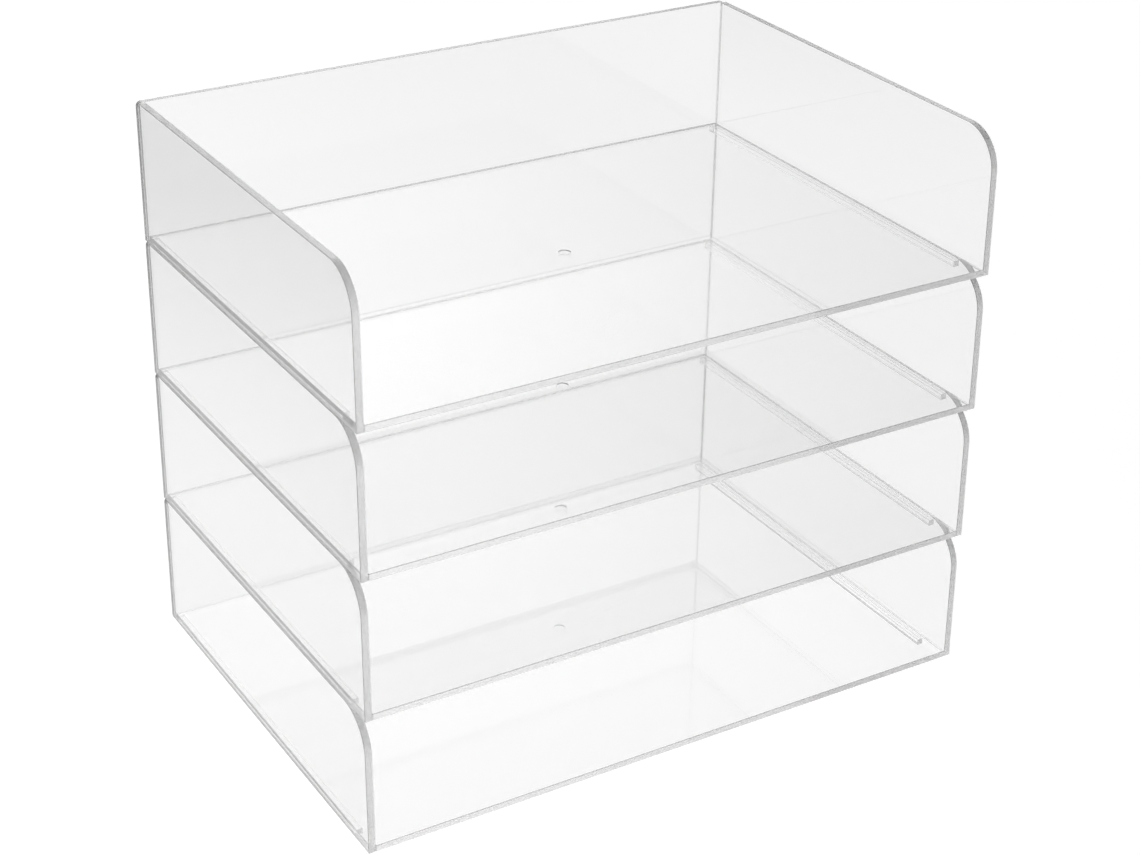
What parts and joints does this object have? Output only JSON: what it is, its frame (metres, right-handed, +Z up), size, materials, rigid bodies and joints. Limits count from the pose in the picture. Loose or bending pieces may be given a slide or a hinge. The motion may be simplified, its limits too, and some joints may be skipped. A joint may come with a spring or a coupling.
{
  "type": "letter tray",
  "caption": "Stack of clear side-loading letter trays, each with a flat floor, a back wall, round-cornered side walls and stacking rails underneath, open at the front.",
  "frame": {"origin": "centre of the pile's footprint, at the level that the lowest tray's rails stand on", "axes": "+X to the right along the trays' long side, +Y from the open front to the back wall, +Z up"},
  "size_m": [0.33, 0.229, 0.2854],
  "materials": {
    "clear_sheet": "colourless clear acrylic sheet, glossy faces, flame-polished edges",
    "clear_rail": "colourless clear acrylic strip, sawn and polished"
  },
  "bodies": {
    "bottom_tray": {"bottom_tray_floor": "clear_sheet", "bottom_tray_back_wall": "clear_sheet", "bottom_tray_left_wall": "clear_sheet", "bottom_tray_right_wall": "clear_sheet", "bottom_tray_left_rail": "clear_rail", "bottom_tray_right_rail": "clear_rail"},
    "second_tray": {"second_tray_floor": "clear_sheet", "second_tray_back_wall": "clear_sheet", "second_tray_left_wall": "clear_sheet", "second_tray_right_wall": "clear_sheet", "second_tray_left_rail": "clear_rail", "second_tray_right_rail": "clear_rail"},
    "third_tray": {"third_tray_floor": "clear_sheet", "third_tray_back_wall": "clear_sheet", "third_tray_left_wall": "clear_sheet", "third_tray_right_wall": "clear_sheet", "third_tray_left_rail": "clear_rail", "third_tray_right_rail": "clear_rail"},
    "top_tray": {"top_tray_floor": "clear_sheet", "top_tray_back_wall": "clear_sheet", "top_tray_left_wall": "clear_sheet", "top_tray_right_wall": "clear_sheet", "top_tray_left_rail": "clear_rail", "top_tray_right_rail": "clear_rail"}
  },
  "joints": [
    {"name": "second_tray_lift", "type": "slide", "parent": "bottom_tray", "child": "second_tray", "axis": [0, 0, 1], "range_m": [0, 0.08]},
    {"name": "third_tray_lift", "type": "slide", "parent": "second_tray", "child": "third_tray", "axis": [0, 0, 1], "range_m": [0, 0.08]},
    {"name": "top_tray_lift", "type": "slide", "parent": "third_tray", "child": "top_tray", "axis": [0, 0, 1], "range_m": [0, 0.08]}
  ]
}
